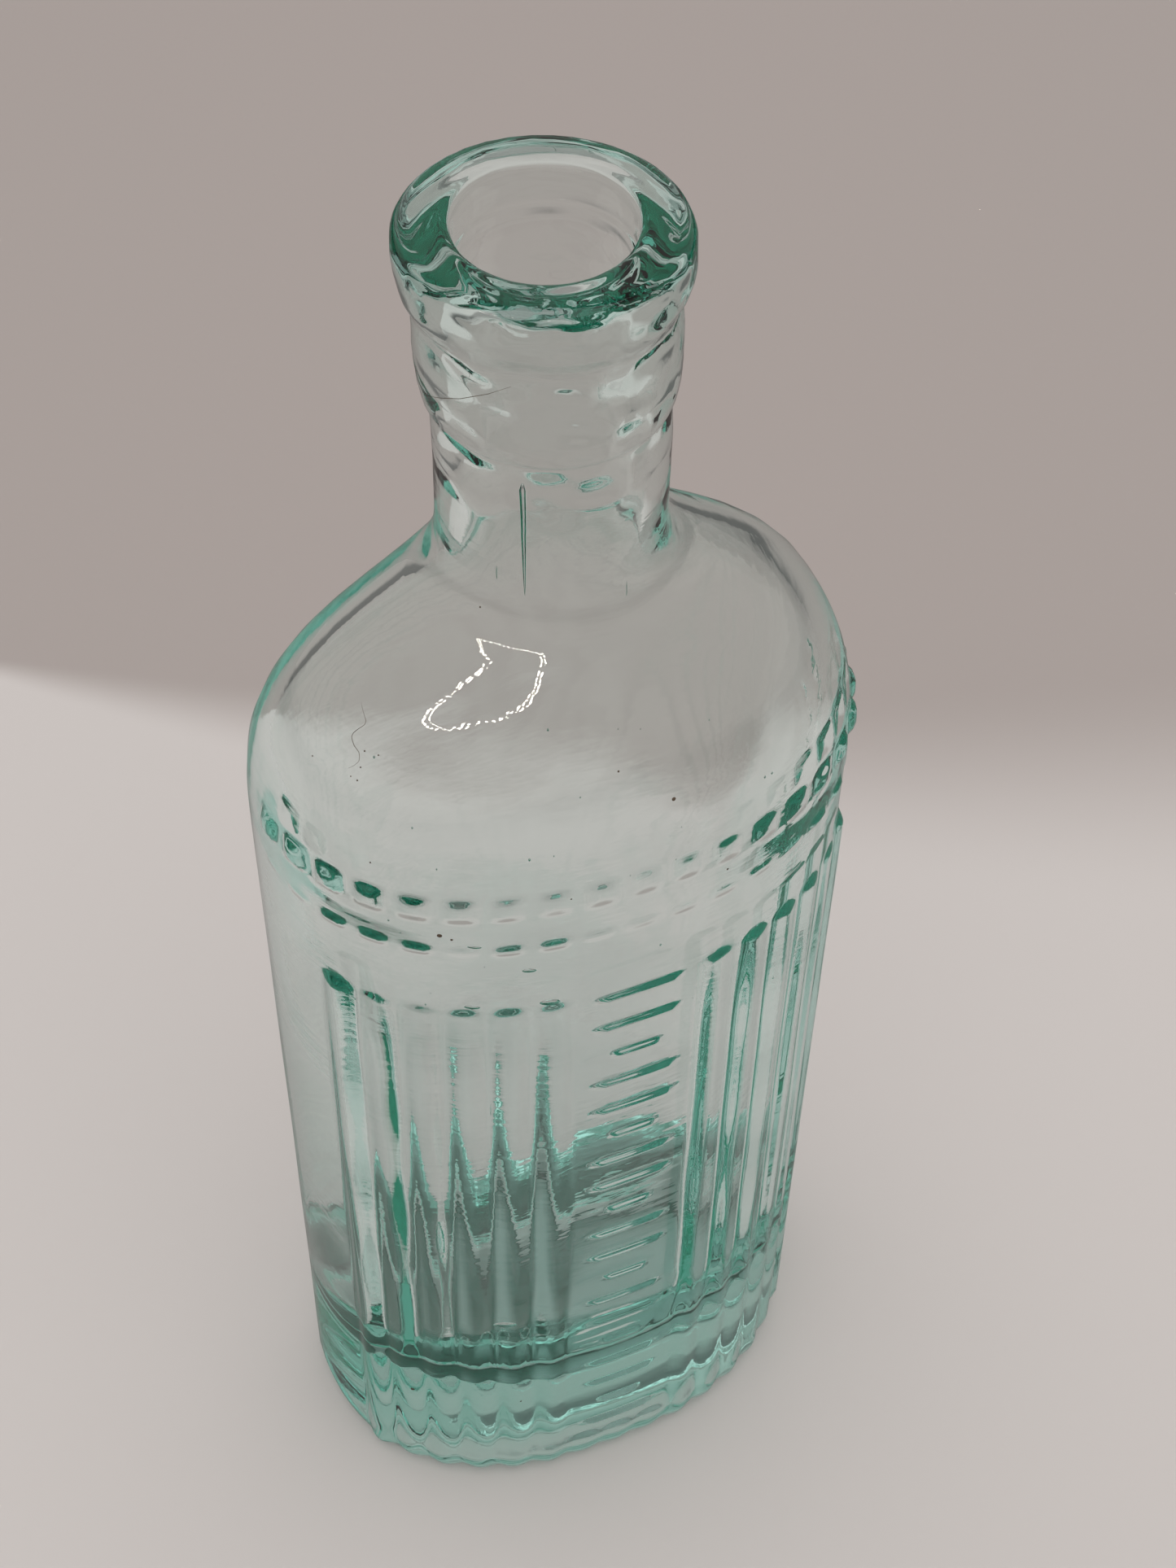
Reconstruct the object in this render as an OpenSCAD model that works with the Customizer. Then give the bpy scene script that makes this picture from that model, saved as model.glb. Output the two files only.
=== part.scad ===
// Poison bottle: one piece of moulded glass with a bowed, ribbed front, a plain back and an applied lip.
// Millimetres, +Z up, the front faces -Y, the origin is under the middle of the base.

/* [Body] */
// Width across the body
body_w = 69.7; // [50:0.2:100]
// How far the bowed front stands out from the widest line
front_bow = 27.7; // [20:0.1:45]
// How far the plain back lies behind the widest line
back_depth = 14.6; // [8:0.1:25]
// Squareness of the front curve, 2 is an ellipse
front_power = 2.3; // [2:0.05:3.5]
// Squareness of the back curve, higher is flatter
back_power = 2.6; // [2:0.1:5]
// Height at which the sides start to bend in to the shoulder
side_h = 124; // [90:0.5:170]
// Radius of the heel where the sides meet the base
heel_r = 3; // [1:0.1:5]
// Rise of the hollow under the base
kick_up = 1.8; // [0.5:0.1:4]

/* [Glass] */
// Thickness of the side walls
wall = 2.6; // [2:0.1:5]
// Thickness of the floor
floor_h = 17; // [6:0.1:26]
// Radius inside, where the floor meets the walls
floor_r = 5; // [1:0.1:8]

/* [Shoulder] */
// Height of the shoulder from the straight sides to the neck
shoulder_h = 36.5; // [26:0.2:55]
// Fullness of the shoulder at its start
shoulder_start = 3.3; // [2:0.05:4]
// Fullness of the shoulder near the neck
shoulder_end = 0.75; // [0.6:0.01:1.5]

/* [Neck] */
// Outer diameter of the neck
neck_d = 23.8; // [21:0.1:32]
// Height of the bare neck
neck_h = 20.9; // [8:0.1:40]
// Distance of the neck behind the middle of the depth
neck_back = 4.2; // [0:0.1:5.5]
// Distance of the hand-set neck to the left of the middle
neck_left = 1.1; // [0:0.1:2]
// Outer diameter of the collar under the lip
collar_d = 26; // [24:0.1:36]
// Height of the collar
collar_h = 10.9; // [3:0.1:14]
// Outer diameter of the lip
lip_d = 28.6; // [26:0.1:40]
// Height of the lip
lip_h = 7.7; // [5:0.1:18]
// Diameter of the bore for the cork
bore_d = 17.2; // [12:0.1:20]
// Length of the cylindrical bore from the mouth down
bore_h = 25.7; // [15:0.1:36]
// Rounding of the mouth's edge
mouth_round = 0.4; // [0.2:0.1:1.5]

/* [Ribs] */
// Number of columns round the front, three of them the bare panel
rib_cols = 15; // [11:2:19]
// Share of the front's length that the columns take
rib_span = 0.75; // [0.5:0.01:0.78]
// How far the ribs stand out
rib_h = 0.8; // [0.3:0.05:2]
// Height of the short ribs under the panel, above the heel
foot_h = 4.2; // [3:0.1:12]
// Distance of the tops of the ribs below the start of the shoulder
rib_drop = 9.6; // [6:0.1:20]
// Gap between the tops of the ribs and the row of dashes
rib_gap = 9.4; // [3:0.1:12]

/* [Shoulder rows] */
// Height of one small dash
dash_h = 1.9; // [1:0.1:4]
// How far a dash stands out
dash_out = 0.45; // [0.2:0.05:1]
// Gap between the dashes and the row of squares
row_gap = 3.9; // [1:0.1:10]
// Height of one raised square
square_h = 4; // [2:0.1:7]
// How far a raised square stands out
square_out = 0.8; // [0.3:0.05:1.5]

/* [Panel] */
// Number of raised bars down the panel
bar_count = 19; // [5:1:24]
// Length of a long bar
bar_l = 10; // [6:0.1:13]
// Width of a bar
bar_w = 1.4; // [0.8:0.1:2.5]
// How far a bar stands out
bar_out = 0.6; // [0.3:0.05:1.2]

/* [Hidden] */
half_w = body_w / 2;
depth = front_bow + back_depth;
mid_y = rib_h / 2;
wide_y = front_bow - depth / 2 + mid_y;
neck_z = side_h + shoulder_h;
collar_z = neck_z + neck_h;
lip_z = collar_z + collar_h;
top_z = lip_z + lip_h;
neck_r = neck_d / 2;
neck_in = bore_d / 2 + 0.4;
neck_p = [-neck_left, neck_back + mid_y];
rib_top = side_h - rib_drop;
dash_bot = rib_top + rib_gap;
dash_top = dash_bot + dash_h;
square_bot = dash_top + row_gap;
square_top = square_bot + square_h;
foot_top = heel_r + foot_h;
col_n = rib_cols + 4;
// Shares of a column at which the skin has points, and how raised a rib is there
col_at = [-0.5, -0.36, -0.17, 0.17, 0.36];

// One point of the body's section at an angle, the front below 0 and the back above
function arm(v, p) = sign(v) * pow(abs(v), 2 / p);
function outline(t, inset) = [
  (half_w - inset) * arm(cos(t), t < 0 ? front_power : back_power),
  wide_y + (t < 0 ? (front_bow - inset) * arm(sin(t), front_power)
                  : (back_depth - inset) * arm(sin(t), back_power))];

// The way out from the section at an angle
function power_of(t) = t < 0 ? front_power : back_power;
function reach(t) = t < 0 ? front_bow : back_depth;
function slope(t) = let (q = 2 - 2 / power_of(t))
  [sign(cos(t)) * pow(abs(cos(t)), q) / half_w,
   sign(sin(t)) * pow(abs(sin(t)), q) / reach(t)];
function out_from(t) = slope(t) / norm(slope(t));

// The front's length from its left end, and the angle at a length
trace = [for (i = [0:180]) -180 + i];
trail = [for (t = trace) outline(t, 0)];
step_l = [for (i = [0:180]) i == 0 ? 0 : norm(trail[i] - trail[i - 1])];
run_l = [for (i = 0, s = 0; i <= 180; i = i + 1, s = s + (i <= 180 ? step_l[i] : 0)) s];
front_l = run_l[180];
angle_of = [for (i = [0:180]) [run_l[i], trace[i]]];
pitch = min(rib_span, 0.78) * front_l / rib_cols;
cols_l = pitch * col_n / 2;

// Lengths from the front's middle at which the skin has points
marks = concat(
  [-front_l / 2, -(front_l / 2 + cols_l) / 2],
  [for (c = [0:col_n - 1]) for (k = [0:4]) (c - (col_n - 1) / 2 + col_at[k]) * pitch],
  [cols_l, (front_l / 2 + cols_l) / 2, front_l / 2]);
front_t = [for (m = marks) min(-0.001, lookup(m + front_l / 2, angle_of))];
back_t = [for (k = [1:15]) k * 180 / 16];
skin_t = concat([-179.999], [for (i = [1:len(front_t) - 1]) front_t[i]], back_t);
skin_n = len(skin_t);
skin_p = [for (t = skin_t) outline(t, 0)];
skin_v = [for (t = skin_t) out_from(t)];

// The column of a skin point, counted from the middle one, and its place in the column
function in_col(i) = i >= 2 && i < 2 + 5 * col_n;
function col_of(i) = floor((i - 2) / 5) - (col_n - 1) / 2;
function place(i) = (i - 2) % 5;
function share(i, pair) = !in_col(i) || place(i) == 0 ? 0
  : place(i) == 2 || place(i) == 3 ? pair[0] : pair[1];

// How raised the skin is at a point of a ring
function raised(i, r) = !in_col(i) ? 0 : let (c = abs(col_of(i)))
  rib_h * share(i, c < 1.5 ? r[3] : c < rib_cols / 2 ? r[2] : [0, 0])
  + dash_out * share(i, r[4]) + square_out * share(i, r[5]);

// Rings of the patterned part: height, inset, ribs, short ribs, dashes, squares
no = [0, 0];
rib = [1, 0.3];
lower = [
  [0, heel_r, [0.3, 0.1], [0.3, 0.1], no, no],
  [heel_r * 0.18, heel_r * 0.43, [0.6, 0.2], [0.6, 0.2], no, no],
  [heel_r * 0.58, heel_r * 0.09, [0.9, 0.3], [0.9, 0.3], no, no],
  [heel_r, 0, rib, rib, no, no],
  [foot_top - 1.7, 0, rib, rib, no, no],
  [foot_top - 0.5, 0, rib, [0.6, 0.05], no, no],
  [foot_top, 0, rib, no, no, no],
  [rib_top - 2.2, 0, rib, no, no, no],
  [rib_top - 1, 0, [0.85, 0.1], no, no, no],
  [rib_top - 0.3, 0, [0.45, 0], no, no, no],
  [rib_top, 0, no, no, no, no],
  [dash_bot, 0, no, no, no, no],
  [dash_bot + dash_h * 0.35, 0, no, no, [1, 0.8], no],
  [dash_top - dash_h * 0.35, 0, no, no, [1, 0.8], no],
  [dash_top, 0, no, no, no, no],
  [square_bot, 0, no, no, no, no],
  [square_bot + square_h * 0.2, 0, no, no, no, [1, 0.5]],
  [square_top - square_h * 0.2, 0, no, no, no, [1, 0.5]],
  [square_top, 0, no, no, no, no]];

// Share of the way left to the neck at a height, and a point moved that way
function dome(u) = u <= 0 ? 1 : pow(1 - pow(min(u, 1), shoulder_start), 1 / shoulder_end);
function left_at(z) = dome((z - side_h) / shoulder_h);
function on_neck(p, r) = neck_p + r * (p - neck_p) / norm(p - neck_p);
function to_neck(p, r, k) = on_neck(p, r) + (p - on_neck(p, r)) * k;
function flat(p, z) = [p[0], p[1], z];

// Rings of the shoulder: height, and share of the way left to the neck
first_u = (square_top - side_h) / shoulder_h;
function shoulder_u(k) = first_u + (0.93 - first_u) * k;
rise = concat([for (k = [0.13, 0.26, 0.39, 0.52, 0.64, 0.76, 0.88, 1])
    [shoulder_u(k), dome(shoulder_u(k))]],
  [[0.97, 0.075], [1.02, 0.042], [1.08, 0.02]]);

under = [
  [for (p = skin_p) flat(p * 0.3, kick_up)],
  [for (p = skin_p) flat(p * 0.62, kick_up * 0.6)],
  [for (i = [0:skin_n - 1]) flat(skin_p[i] - skin_v[i] * (heel_r + 3.2), 0)]];
outside = concat(under,
  [for (r = lower) [for (i = [0:skin_n - 1])
    flat(to_neck(skin_p[i] + skin_v[i] * (raised(i, r) - r[1]), neck_r, left_at(r[0])), r[0])]],
  [for (r = rise) [for (p = skin_p) flat(to_neck(p, neck_r, r[1]), side_h + shoulder_h * r[0])]],
  [[for (p = skin_p) flat(on_neck(p, neck_r - 0.7), neck_z + shoulder_h * 0.08 + 1)]]);

// Rings of the hollow
hollow_t = [for (k = [0:47]) -179.999 + k * 7.5];
in_r = min(floor_r, back_depth - wall - 1);
hollow_p = [for (t = hollow_t) outline(t, wall)];
low_ring = [[0, in_r], [0.13, in_r * 0.5], [0.5, in_r * 0.13], [1, 0]];
inner_z = side_h - 2;
inner_h = shoulder_h - 1.5;
hollow = concat(
  [[for (p = hollow_p) flat(p * 0.35, floor_h + kick_up * 0.6)]],
  [for (r = low_ring) [for (t = hollow_t) flat(outline(t, wall + r[1]), floor_h + in_r * r[0])]],
  [hollow_ring(hollow_p, inner_z)],
  [for (u = [0.2, 0.35, 0.5, 0.62, 0.74, 0.85, 0.93])
    [for (p = hollow_p) flat(to_neck(p, neck_in, dome(u)), inner_z + inner_h * u)]],
  [[for (p = hollow_p) flat(to_neck(p, neck_in, 0.04), inner_z + inner_h)]],
  [[for (p = hollow_p) flat(on_neck(p, neck_in), inner_z + inner_h + 3)]],
  [[for (p = hollow_p) flat(on_neck(p, neck_in), top_z - bore_h + 0.5)]]);
function hollow_ring(ps, z) = [for (p = ps) flat(p, z)];

// A closed solid through rings that all have the same number of points
module loft(rings) {
  n = len(rings[0]);
  m = len(rings);
  sides = [for (j = [0:m - 2]) for (i = [0:n - 1]) let (k = (i + 1) % n)
    each [[j * n + i, j * n + k, (j + 1) * n + k], [j * n + i, (j + 1) * n + k, (j + 1) * n + i]]];
  bottom = [for (i = [0:n - 1]) i];
  top = [for (i = [n - 1:-1:0]) (m - 1) * n + i];
  polyhedron(points = [for (r = rings) each r],
    faces = [for (f = concat([bottom], sides, [top])) [for (i = [len(f) - 1:-1:0]) f[i]]]);
}

// The neck, the collar and the lip, turned about the neck's axis
module finish() {
  nr = neck_r;
  cr = max(collar_d / 2, neck_r + 0.5);
  lr = max(lip_d / 2, cr + 0.6);
  translate([neck_p[0], neck_p[1], 0])
  rotate_extrude($fn = 96)
  polygon([[0, side_h + shoulder_h * 0.5], [nr, side_h + shoulder_h * 0.5],
    [nr, collar_z - 0.6], [cr - 0.3, collar_z + 0.2], [cr, collar_z + 1],
    [cr - 0.1, lip_z - 0.5], [cr + (lr - cr) * 0.35, lip_z + lip_h * 0.08],
    [cr + (lr - cr) * 0.82, lip_z + lip_h * 0.28], [lr, lip_z + lip_h * 0.5],
    [lr, lip_z + lip_h * 0.78], [lr - 0.15, lip_z + lip_h * 0.89],
    [lr - 0.5, top_z - 0.25], [lr - 1.1, top_z], [0, top_z]]);
}

// The cylindrical bore with its rounded mouth
module bore() {
  r = bore_d / 2;
  m = mouth_round;
  translate([neck_p[0], neck_p[1], 0]) {
    translate([0, 0, top_z - bore_h])
    cylinder(r = r, h = bore_h + 2, $fn = 96);
    rotate_extrude($fn = 96)
    polygon([[0, top_z - m - 1], [r - 0.3, top_z - m - 1], [r - 0.05, top_z - m],
      [r + m * 0.3, top_z - m * 0.3], [r + m, top_z], [r + m, top_z + 1], [0, top_z + 1]]);
  }
}

// Raised bars down the front panel, long and short in turn
module bars() {
  low = foot_top + 3;
  high = rib_top - 2;
  span = (high - low) / (bar_count - 1);
  bl = min(bar_l, pitch * 2.2);
  bw = min(bar_w, span * 0.5);
  for (k = [0:bar_count - 1]) {
    l = k % 3 == 1 ? bl * 0.6 : bl;
    translate([0, mid_y - depth / 2 + wall / 2, low + k * span])
    rotate([90, 0, 0])
    linear_extrude(height = wall / 2 + bar_out)
    polygon([[-l / 2, 0], [-l / 2 + bw / 2, -bw / 2], [l / 2 - bw / 2, -bw / 2],
      [l / 2, 0], [l / 2 - bw / 2, bw / 2], [-l / 2 + bw / 2, bw / 2]]);
  }
}

module bottle() {
  color([0.55, 0.75, 0.7, 0.6])
  difference() {
    union() {
      loft(outside);
      finish();
      bars();
    }
    loft(hollow);
    bore();
  }
}

bottle();
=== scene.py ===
import bpy
import math
import numpy as np
from mathutils import Matrix, Vector
from mathutils.bvhtree import BVHTree


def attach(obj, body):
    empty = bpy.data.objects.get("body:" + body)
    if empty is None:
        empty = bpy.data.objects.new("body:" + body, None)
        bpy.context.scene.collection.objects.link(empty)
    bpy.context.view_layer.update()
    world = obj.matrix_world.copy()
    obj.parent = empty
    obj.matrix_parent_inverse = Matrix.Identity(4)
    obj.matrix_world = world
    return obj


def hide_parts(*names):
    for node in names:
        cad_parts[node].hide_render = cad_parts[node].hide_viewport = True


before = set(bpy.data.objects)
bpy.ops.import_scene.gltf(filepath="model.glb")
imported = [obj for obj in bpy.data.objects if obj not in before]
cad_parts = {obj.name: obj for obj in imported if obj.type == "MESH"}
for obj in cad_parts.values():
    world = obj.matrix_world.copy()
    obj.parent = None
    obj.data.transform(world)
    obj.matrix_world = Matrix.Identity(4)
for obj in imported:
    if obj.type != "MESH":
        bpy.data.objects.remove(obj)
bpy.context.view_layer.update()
scene = bpy.context.scene
scene.view_settings.view_transform = "Standard"
scene.cycles.max_bounces = 32                # light turns many times inside thick glass
scene.cycles.glossy_bounces = 24
scene.cycles.transmission_bounces = 32
scene.cycles.sample_clamp_indirect = 40      # keeps the small lamps' bright points in the glass


# Camera, where the photograph was taken from

view = {
    "place": (-0.074444, -0.171306, 0.342347),
    "right": (0.91999, -0.39162, 0.01605),
    "down": (-0.28727, -0.70158, -0.65212),
    "forward": (0.26664, 0.59533, -0.75795),
    "pixelsPerUnit": 3106.77,    # focal length in pixels of the 1445 wide image
    "imageWidth": 1445,
    "imageHeight": 1927,
    "sensorWidth": 36,
    "clip": (0.01, 20),
}


def makeCamera(spec):
    data = bpy.data.cameras.new("camera")
    data.sensor_fit = "HORIZONTAL"
    data.sensor_width = spec["sensorWidth"]
    data.lens = spec["sensorWidth"] * spec["pixelsPerUnit"] / spec["imageWidth"]
    data.clip_start, data.clip_end = spec["clip"]
    camera = bpy.data.objects.new("camera", data)
    scene.collection.objects.link(camera)
    turn = Matrix((spec["right"], [-v for v in spec["down"]], [-v for v in spec["forward"]])).transposed()
    camera.matrix_world = Matrix.Translation(spec["place"]) @ turn.to_4x4()
    scene.camera = camera


def sightLine(px, py):
    # the ray through a pixel of the photograph
    x = (px - view["imageWidth"] / 2) / view["pixelsPerUnit"]
    y = (py - view["imageHeight"] / 2) / view["pixelsPerUnit"]
    way = Vector(view["forward"]) + x * Vector(view["right"]) + y * Vector(view["down"])
    return Vector(view["place"]), way.normalized()


makeCamera(view)
print("camera placed")


# The bottle's sizes in millimetres: outside the same as in the CAD source, with a thicker wall here

bottleForm = {
    "width": 69.7,
    "frontBow": 27.7,
    "backDepth": 14.6,
    "frontPower": 2.3,
    "backPower": 2.6,
    "sideHeight": 124,
    "heelRadius": 3,
    "kickUp": 1.8,
    "wall": 3.6,
    "shoulderHeight": 36.5,
    "shoulderStart": 3.3,
    "shoulderEnd": 0.75,
    "neckRadius": 12.0,
    "neckHeight": 20.9,
    "neckBack": 4.2,
    "neckLeft": 1.1,
    "collarRadius": 13.1,
    "collarHeight": 10.9,
    "lipRadius": 14.3,
    "lipHeight": 7.7,
    "boreRadius": 8.6,
    "boreHeight": 25.7,
    "columns": 19,               # ribs, panel and the two plain columns a side
    "pitch": 5.057,
    "ribHeight": 0.8,
    "ribTop": 114.4,
    "footTop": 7.2,
    "dashAt": (123.8, 125.7),
    "dashOut": 0.45,
    "squareAt": (129.6, 133.6),
    "squareOut": 0.8,
    "barCount": 19,
    "barFrom": 10.2,
    "barTo": 112.4,
    "barLength": 10,
    "barWidth": 1.4,
    "barOut": 0.6,
}

f = bottleForm
midY = f["ribHeight"] / 2
wideY = f["frontBow"] - (f["frontBow"] + f["backDepth"]) / 2 + midY
neckAt = np.array([-f["neckLeft"], f["neckBack"] + midY])
neckZ = f["sideHeight"] + f["shoulderHeight"]
collarZ = neckZ + f["neckHeight"]
lipZ = collarZ + f["collarHeight"]
topZ = lipZ + f["lipHeight"]
barStep = (f["barTo"] - f["barFrom"]) / (f["barCount"] - 1)


# How the glass flowed. Each wave has a height, a length, how close it comes in x, y and z, and a seed.

glassWaves = {
    "outer": (0.07, 22, (1, 1, 0.6), 11),        # slow unevenness of the outer skin
    "lip": (0.11, 9, (1, 1, 1.3), 14),           # the lip was tooled by hand
    "lipEdge": (0.3, 16, (1, 1, 1), 5),          # up and down along the lip's lower edge
    "lipMarks": (0.03, 3.2, (1, 1, 2), 31),      # fine marks of the lipping tool
    "boreMarks": (0.03, 3.6, (1, 1, 2), 32),
    "bore": (0.24, 6.5, (1, 1, 1.4), 18),
    "shoulderInside": (0.2, 22, (1, 1, 1), 18),  # no mould touched the inside
    "wallInside": (0.2, 18, (1, 1, 0.7), 18),
    "bottomInside": (0.2, 18, (1, 1, 1), 18),
    "bottomLift": (0.1, 16, (1, 1, 1), 21),      # up and down in the middle of the bottom
}

glassFlow = {
    "calmHeight": 6,             # below this the outer waves fade towards the base
    "growHeight": 112,           # from here up they grow
    "growOver": 20,
    "growShare": 0.3,
    "neckShare": 0.5,            # of them left on the neck
    "lipEdgeFrom": 12.9,         # radius from which the lip's lower edge wanders
    "shoulderWall": 3.2,         # blown thinner over the shoulder
    "frontWall": 4.2,
    "backWall": 2.8,
    "insideBack": 3.5,           # the hollow is widest further back than the outside
    "insideShape": (2.35, 3.4),  # its roundness in front and behind
    "insideMiddle": (0.0, 1.0),
    "bowlFloor": 14.0,           # lowest place of the hollow, rounded as blown glass is
    "bowlHeight": 20.5,          # how far up the bottom inside turns into the walls
    "bowlTilt": 6.0,             # more glass settled at the front
    "bowlSideDrop": 6.0,
    "bowlShape": (2.3, 2),
    "neckTail": ((0.93, 0.97, 1.01, 1.05, 1.1, 1.16), (0.127, 0.07, 0.03, 0.011, 0.002, 0)),
    "leanRight": ((150, 175, 186, 197, 200), (0.6, 0.55, 0.1, -0.26, -0.28)),     # by height
    "leanBack": ((188, 194), (0.0, 0.35)),
    "leanBackFrom": 12.5,        # radius from which it is the collar or the lip
}


def arm(v, power):
    return np.sign(v) * np.abs(v) ** (2 / power)


def section(t, inset=0.0):
    # the body's outline at angles t, the front below 0 and the back above
    c, s = np.cos(t), np.sin(t)
    front = t < 0
    x = (f["width"] / 2 - inset) * np.where(front, arm(c, f["frontPower"]), arm(c, f["backPower"]))
    y = wideY + np.where(front, (f["frontBow"] - inset) * arm(s, f["frontPower"]),
                         (f["backDepth"] - inset) * arm(s, f["backPower"]))
    return np.stack([x, y], -1)


def insideSection(t):
    # the hollow's outline, with more glass in front than behind
    wide = wideY + glassFlow["insideBack"]
    front = wide - (wideY - f["frontBow"] + glassFlow["frontWall"])
    back = wideY + f["backDepth"] - glassFlow["backWall"] - wide
    c, s = np.cos(t), np.sin(t)
    low = t < 0
    a, b = glassFlow["insideShape"]
    x = (f["width"] / 2 - f["wall"]) * np.where(low, arm(c, a), arm(c, b))
    return np.stack([x, wide + np.where(low, front * arm(s, a), back * arm(s, b))], -1)


def wayOut(t):
    # the way square to the outline
    front = t < 0
    q = 2 - 2 / np.where(front, f["frontPower"], f["backPower"])
    reach = np.where(front, f["frontBow"], f["backDepth"])
    c, s = np.cos(t), np.sin(t)
    n = np.stack([np.sign(c) * np.abs(c) ** q / (f["width"] / 2), np.sign(s) * np.abs(s) ** q / reach], -1)
    return n / np.linalg.norm(n, axis=-1, keepdims=True)


def runAlong(points, power=1):
    # how far along a line of points each one lies
    steps = np.linalg.norm(np.diff(points, axis=0), axis=1)
    return np.concatenate([[0], np.cumsum(steps ** power)])


def anglesAlong(start, end, places):
    # angles at which the outline has gone the given lengths from start, and its whole length to end
    t = np.linspace(start, end, 4001)
    run = runAlong(section(t))
    return np.interp(places(run[-1]), run, t), run[-1]


def waves(name, points, amount=1):
    # smooth unevenness of one kind at the points, the same each run
    height, length, squeeze, seed = glassWaves[name]
    rng = np.random.default_rng(seed)
    total = np.zeros(points.shape[:-1])
    waveCount, usualPeak = 14, 4.2
    for _ in range(waveCount):
        way = rng.normal(size=3)
        way = way / np.linalg.norm(way) * 2 * math.pi / length * rng.uniform(0.55, 1.7) * np.array(squeeze)
        total += np.sin(points @ way + rng.uniform(0, 6.28)) * rng.uniform(0.5, 1)
    return height * amount * (total / usualPeak)


def smooth(v):
    v = np.clip(v, 0, 1)
    return v * v * (3 - 2 * v)


# The moulded pattern

pattern = {
    "ribHalf": 0.48,                     # half a rib's width over the pitch
    "ribPeak": 1.35,                     # more makes a narrower crest
    "ribSwell": 0.62,
    "endRib": 1.5,                       # the outermost ribs stand out more and the next ones less
    "nextRib": 0.85,
    "ribRunOut": 1.8,                    # length over which a rib ends
    "footRunOut": 2.0,
    "flatEnds": ((-7, -6, 1, 3), (0.1, 0.6, 0.55, 0.1)),        # ribs left of the panel end flat
    "flatLength": 14,
    "heelFade": ((0, 0.54, 1.74, 3), (0.3, 0.6, 0.9, 1)),       # share of the ribs over the heel
    "dashBox": (1.9, 1.0, 0.95),         # half width, half height and corner
    "strongDashes": (-7, -6, -5, 5, 6),
    "middleDashes": (-3, -2),
    "dashShares": (0.9, 0.6, 0.25),      # of the strong, the middle and the other dashes
    "squareBox": (2.0, 2.1, 1.0),
    "squareSlope": 1.5,
    "squareWear": ((14, 26, 34), (0.3, 0.7, 1.0)),              # worn flat in the middle
    "shortBar": 0.6,                     # every third bar is shorter
    "barCorner": 0.65,
    "barSlope": 0.68,
    "barShare": 0.95,
    "handRib": 0.25,                     # small differences from cell to cell
    "handDash": (0.1, 0.12),             # sideways and up
    "handSquare": (0.12, 0.1, 0.08),     # sideways, up and in width
}


def roundedBox(x, y, halfX, halfY, corner):
    # depth inside a rounded rectangle, positive inside
    qx, qy = np.abs(x) - (halfX - corner), np.abs(y) - (halfY - corner)
    return corner - np.hypot(np.maximum(qx, 0), np.maximum(qy, 0)) - np.minimum(np.maximum(qx, qy), 0)


def reliefAt(s, z):
    # how far the pattern stands out at length s from the front's middle and height z
    g, pitch = pattern, f["pitch"]
    column = np.round(s / pitch)
    off = np.abs(column)
    across = s - column * pitch
    inside = off <= (f["columns"] - 1) / 2
    hand = np.sin(column * 12.9 + 4.1)
    half = pitch * g["ribHalf"]
    flat = np.interp(column, *g["flatEnds"])

    def rib(top, run):
        # a soft swell, with an end that runs out over the given length
        d = np.clip(np.hypot(across / half, np.maximum(z - top + run, 0) / run), 0, 1)
        fade = smooth((z - top + g["flatLength"]) / g["flatLength"])
        return np.cos(d * math.pi / 2) ** g["ribPeak"] * (1 - flat * fade)

    ribs = np.where(off < 1.5, rib(f["footTop"], g["footRunOut"]),
                    np.where(off < 7.5, rib(f["ribTop"] + g["handRib"] * hand, g["ribRunOut"]), 0))
    strength = np.where(off == 7, g["endRib"], np.where(off == 6, g["nextRib"], 1))
    out = g["ribSwell"] * ribs * np.interp(z, *g["heelFade"]) * strength

    sideways, up = g["handDash"]
    zMid = sum(f["dashAt"]) / 2 + up * hand
    dash = roundedBox(across - sideways * hand, z - zMid, *g["dashBox"])
    strong, middle, other = g["dashShares"]
    share = np.where(np.isin(column, g["strongDashes"]), strong,
                     np.where(np.isin(column, g["middleDashes"]), middle, other))
    out = out + np.where(inside, f["dashOut"] * share * smooth(dash), 0)

    sideways, up, wider = g["handSquare"]
    wide, high, corner = g["squareBox"]
    zMid = sum(f["squareAt"]) / 2 + up * hand
    square = roundedBox(across + sideways * hand, z - zMid, wide + wider * hand, high, corner)
    proud = np.interp(np.abs(s), *g["squareWear"])
    out = out + np.where(inside, f["squareOut"] * proud * smooth(square / g["squareSlope"]), 0)

    k = np.clip(np.round((z - f["barFrom"]) / barStep), 0, f["barCount"] - 1)
    long = np.where(k % 3 == 1, g["shortBar"], 1.0) * f["barLength"] / 2
    bar = roundedBox(s, z - f["barFrom"] - k * barStep, long, f["barWidth"] / 2, g["barCorner"])
    return out + np.where(np.abs(s) < 7, g["barShare"] * f["barOut"] * smooth(bar / g["barSlope"]), 0)


# Shoulder and neck

def dome(u):
    return np.where(u <= 0, 1.0, (1 - np.clip(u, 0, 1) ** f["shoulderStart"]) ** (1 / f["shoulderEnd"]))


def leftToNeck(z):
    # share of the way left from the body's outline to the neck, with a soft run out at its foot
    u = (z - f["sideHeight"]) / f["shoulderHeight"]
    heights, shares = glassFlow["neckTail"]
    return np.where(u < heights[0], dome(u), np.interp(u, heights, shares))


def onNeck(p, radius, z=0.0):
    # the neck leans a little, from right at its root to left at the lip
    d = p - neckAt
    leanX = np.interp(z, *glassFlow["leanRight"])
    leanY = np.interp(z, *glassFlow["leanBack"]) if radius > glassFlow["leanBackFrom"] else 0.0
    return neckAt + np.array([leanX, leanY]) + radius * d / np.linalg.norm(d, axis=-1, keepdims=True)


def awayFromNeck(p):
    return (p - neckAt) / np.linalg.norm(p - neckAt, axis=1, keepdims=True)


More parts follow.
